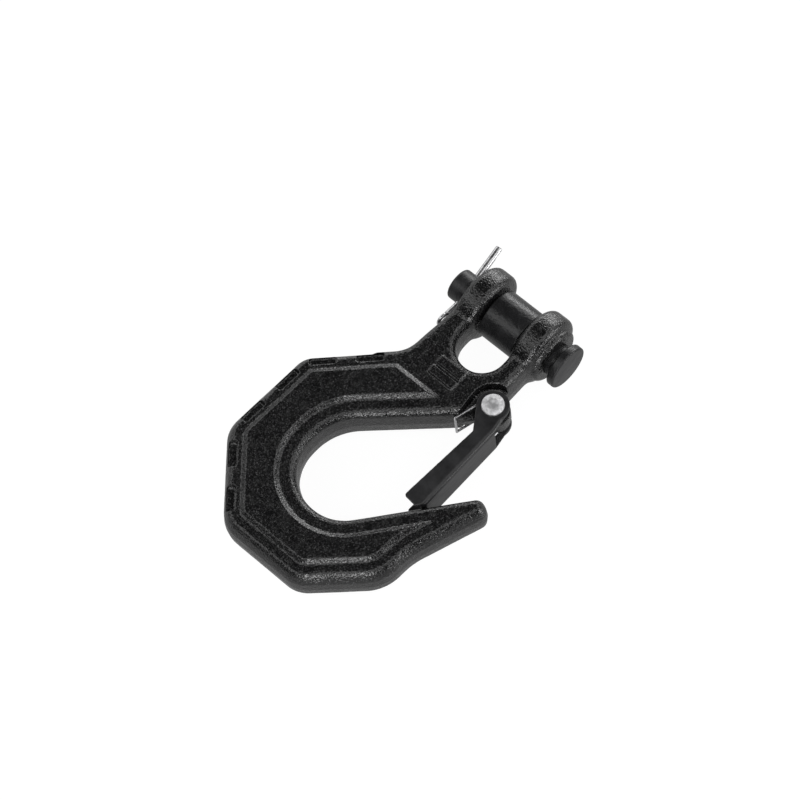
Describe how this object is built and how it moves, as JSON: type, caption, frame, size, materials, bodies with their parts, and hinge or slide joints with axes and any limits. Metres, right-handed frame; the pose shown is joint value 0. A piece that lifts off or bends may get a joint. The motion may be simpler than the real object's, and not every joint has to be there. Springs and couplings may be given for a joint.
{
  "type": "clevis slip hook",
  "caption": "Forged octagonal-backed slip hook with a clevis, load pin and sleeve at its neck and a sprung latch across its throat.",
  "frame": {"origin": "on the load pin's axis, midway between the clevis ears, on the forging's parting plane", "axes": "+X along the line of pull towards the chain, +Y towards the hook's back, +Z out of the upper face"},
  "size_m": [0.151, 0.0953, 0.0286],
  "materials": {
    "hook_body": "semi-gloss black powder coat, fine granular texture",
    "clevis_sleeve": "smooth satin black",
    "clevis_pin": "satin black",
    "cotter_pin": "bright zinc plate",
    "latch": "smooth satin black sheet steel",
    "latch_rivet": "zinc plate, mottled by peening",
    "latch_spring": "bright spring wire"
  },
  "bodies": {
    "hook": {"hook_body": "hook_body", "latch_rivet": "latch_rivet", "latch_spring": "latch_spring"},
    "latch": {"latch": "latch"},
    "sleeve": {"clevis_sleeve": "clevis_sleeve"},
    "pin": {"clevis_pin": "clevis_pin", "cotter_pin": "cotter_pin"}
  },
  "joints": [
    {"name": "latch_swing", "type": "hinge", "parent": "hook", "child": "latch", "pos_m": [-0.0316, -0.01895, 0], "axis": [0, 0, -1], "range_deg": [0, 26], "stiffness_Nm_per_rad": 0.04, "springref_deg": -45.84, "deforming": ["latch_spring"]},
    {"name": "sleeve_spin", "type": "hinge", "parent": "hook", "child": "sleeve", "pos_m": [0, 0, 0], "axis": [0, 1, 0], "continuous": true},
    {"name": "pin_float", "type": "slide", "parent": "sleeve", "child": "pin", "axis": [0, 1, 0], "range_m": [0, 0.0028]}
  ]
}
